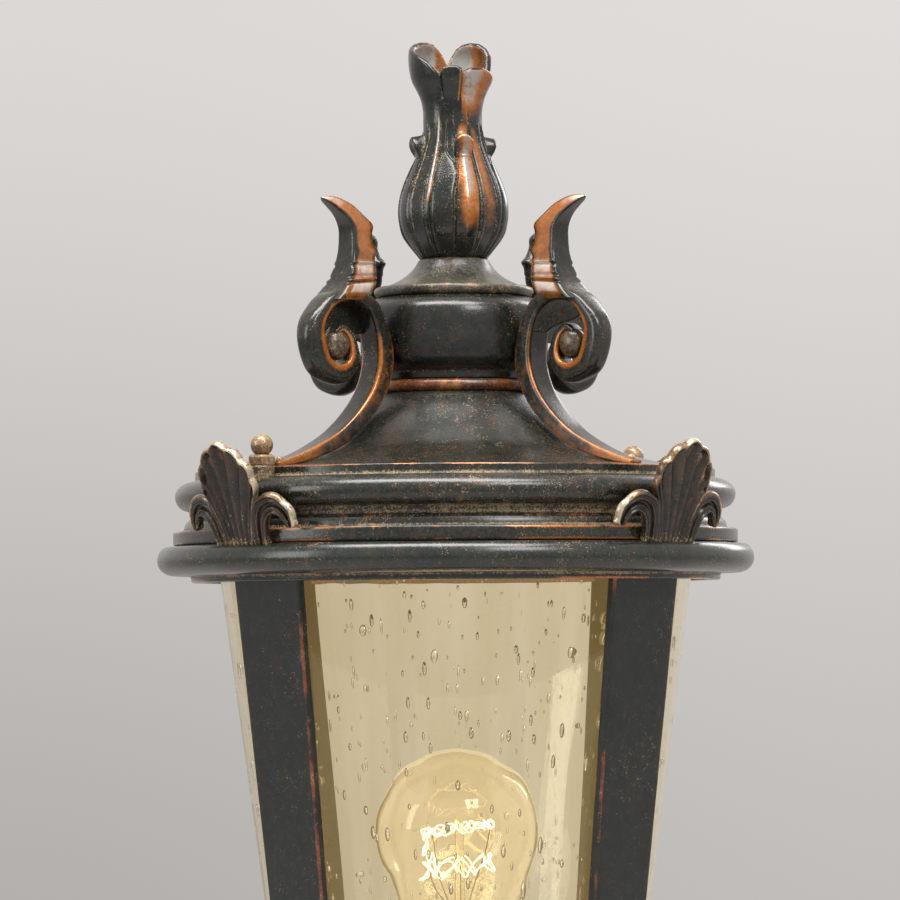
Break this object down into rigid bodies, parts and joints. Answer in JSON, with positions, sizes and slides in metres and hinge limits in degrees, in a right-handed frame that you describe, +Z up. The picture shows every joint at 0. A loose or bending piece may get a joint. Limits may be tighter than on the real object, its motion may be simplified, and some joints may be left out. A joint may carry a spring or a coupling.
{
  "type": "outdoor post light",
  "caption": "Round post-top lantern: tapered seeded glass in a four-bar frame under a lift-off roof with scrolls and a tulip finial, on a slip-over post fitter.",
  "frame": {"origin": "centre of the post fitter's foot, where the lantern stands", "axes": "+Z up along the lantern's axis of symmetry; -Y is the front, with a ball nut at the front left and back right corners"},
  "size_m": [0.2188, 0.2188, 0.5148],
  "materials": {
    "bronze": "hand-rubbed dark bronze paint with worn edges",
    "copper": "worn copper",
    "gilt_bronze": "rubbed gold over bronze",
    "amber_glass": "seeded amber glass",
    "lamp_glass": "clear, faint amber tint",
    "filament": "glowing wire",
    "steel": "zinc plated",
    "brass": "plain",
    "cap_metal": "plain",
    "ceramic": "glazed",
    "rubber": "matte",
    "block_plastic": "matte",
    "brown_insulation": "matte",
    "blue_insulation": "matte"
  },
  "bodies": {
    "lantern": {"post_fitter": "bronze", "fitter_screws": "steel", "supply_grommet": "rubber", "base_bowl": "bronze", "gallery": "bronze", "gallery_screws": "bronze", "glass_gasket": "rubber", "glass_cone": "amber_glass", "glass_centring_ring": "rubber", "frame_ring": "bronze", "roof_studs": "steel", "holder_saddle": "steel", "lampholder_body": "ceramic", "lampholder_shell": "brass", "lampholder_contact": "brass", "holder_nipple": "steel", "nipple_locknuts": "steel", "terminal_block": "block_plastic", "terminal_screws": "brass", "live_lead": "brown_insulation", "neutral_lead": "blue_insulation", "earth_screw": "brass", "earth_tag": "brass", "corner_bar_back_right": "bronze", "palmette_back_right": "bronze", "corner_bar_back_left": "bronze", "palmette_back_left": "bronze", "corner_bar_front_left": "bronze", "palmette_front_left": "bronze", "corner_bar_front_right": "bronze", "palmette_front_right": "bronze"},
    "roof": {"roof_cover": "bronze", "roof_gasket": "rubber", "bead_ring": "copper", "collar_drum": "bronze", "cone_cap": "bronze", "finial_rod": "steel", "rod_nut": "steel", "rod_washer": "steel", "finial": "bronze", "scroll_screws": "copper", "scroll_back_right": "bronze", "scroll_back_left": "bronze", "scroll_front_left": "bronze", "scroll_front_right": "bronze"},
    "front_left_nut": {"ball_nut_front_left": "gilt_bronze"},
    "back_right_nut": {"ball_nut_back_right": "gilt_bronze"},
    "lamp": {"lamp_cap": "cap_metal", "lamp_glass": "lamp_glass", "lamp_stem": "lamp_glass", "lamp_filament": "filament"},
    "set_screw_1_body": {"set_screw_1": "steel"},
    "set_screw_2_body": {"set_screw_2": "steel"},
    "set_screw_3_body": {"set_screw_3": "steel"}
  },
  "joints": [
    {"name": "roof_lift", "type": "slide", "parent": "lantern", "child": "roof", "axis": [0, 0, 1], "range_m": [0, 0.06]},
    {"name": "front_left_nut_turn", "type": "hinge", "parent": "roof", "child": "front_left_nut", "pos_m": [-0.06817, -0.06817, 0.359], "axis": [0, 0, 1], "continuous": true},
    {"name": "back_right_nut_turn", "type": "hinge", "parent": "roof", "child": "back_right_nut", "pos_m": [0.06817, 0.06817, 0.359], "axis": [0, 0, 1], "continuous": true},
    {"name": "lamp_turn", "type": "hinge", "parent": "lantern", "child": "lamp", "pos_m": [0, 0, 0.16], "axis": [0, 0, 1], "continuous": true},
    {"name": "set_screw_1_travel", "type": "slide", "parent": "lantern", "child": "set_screw_1_body", "axis": [0, -1, 0], "range_m": [0, 0.0028]},
    {"name": "set_screw_2_travel", "type": "slide", "parent": "lantern", "child": "set_screw_2_body", "axis": [0.866, 0.5, 0], "range_m": [0, 0.0028]},
    {"name": "set_screw_3_travel", "type": "slide", "parent": "lantern", "child": "set_screw_3_body", "axis": [-0.866, 0.5, 0], "range_m": [0, 0.0028]}
  ]
}
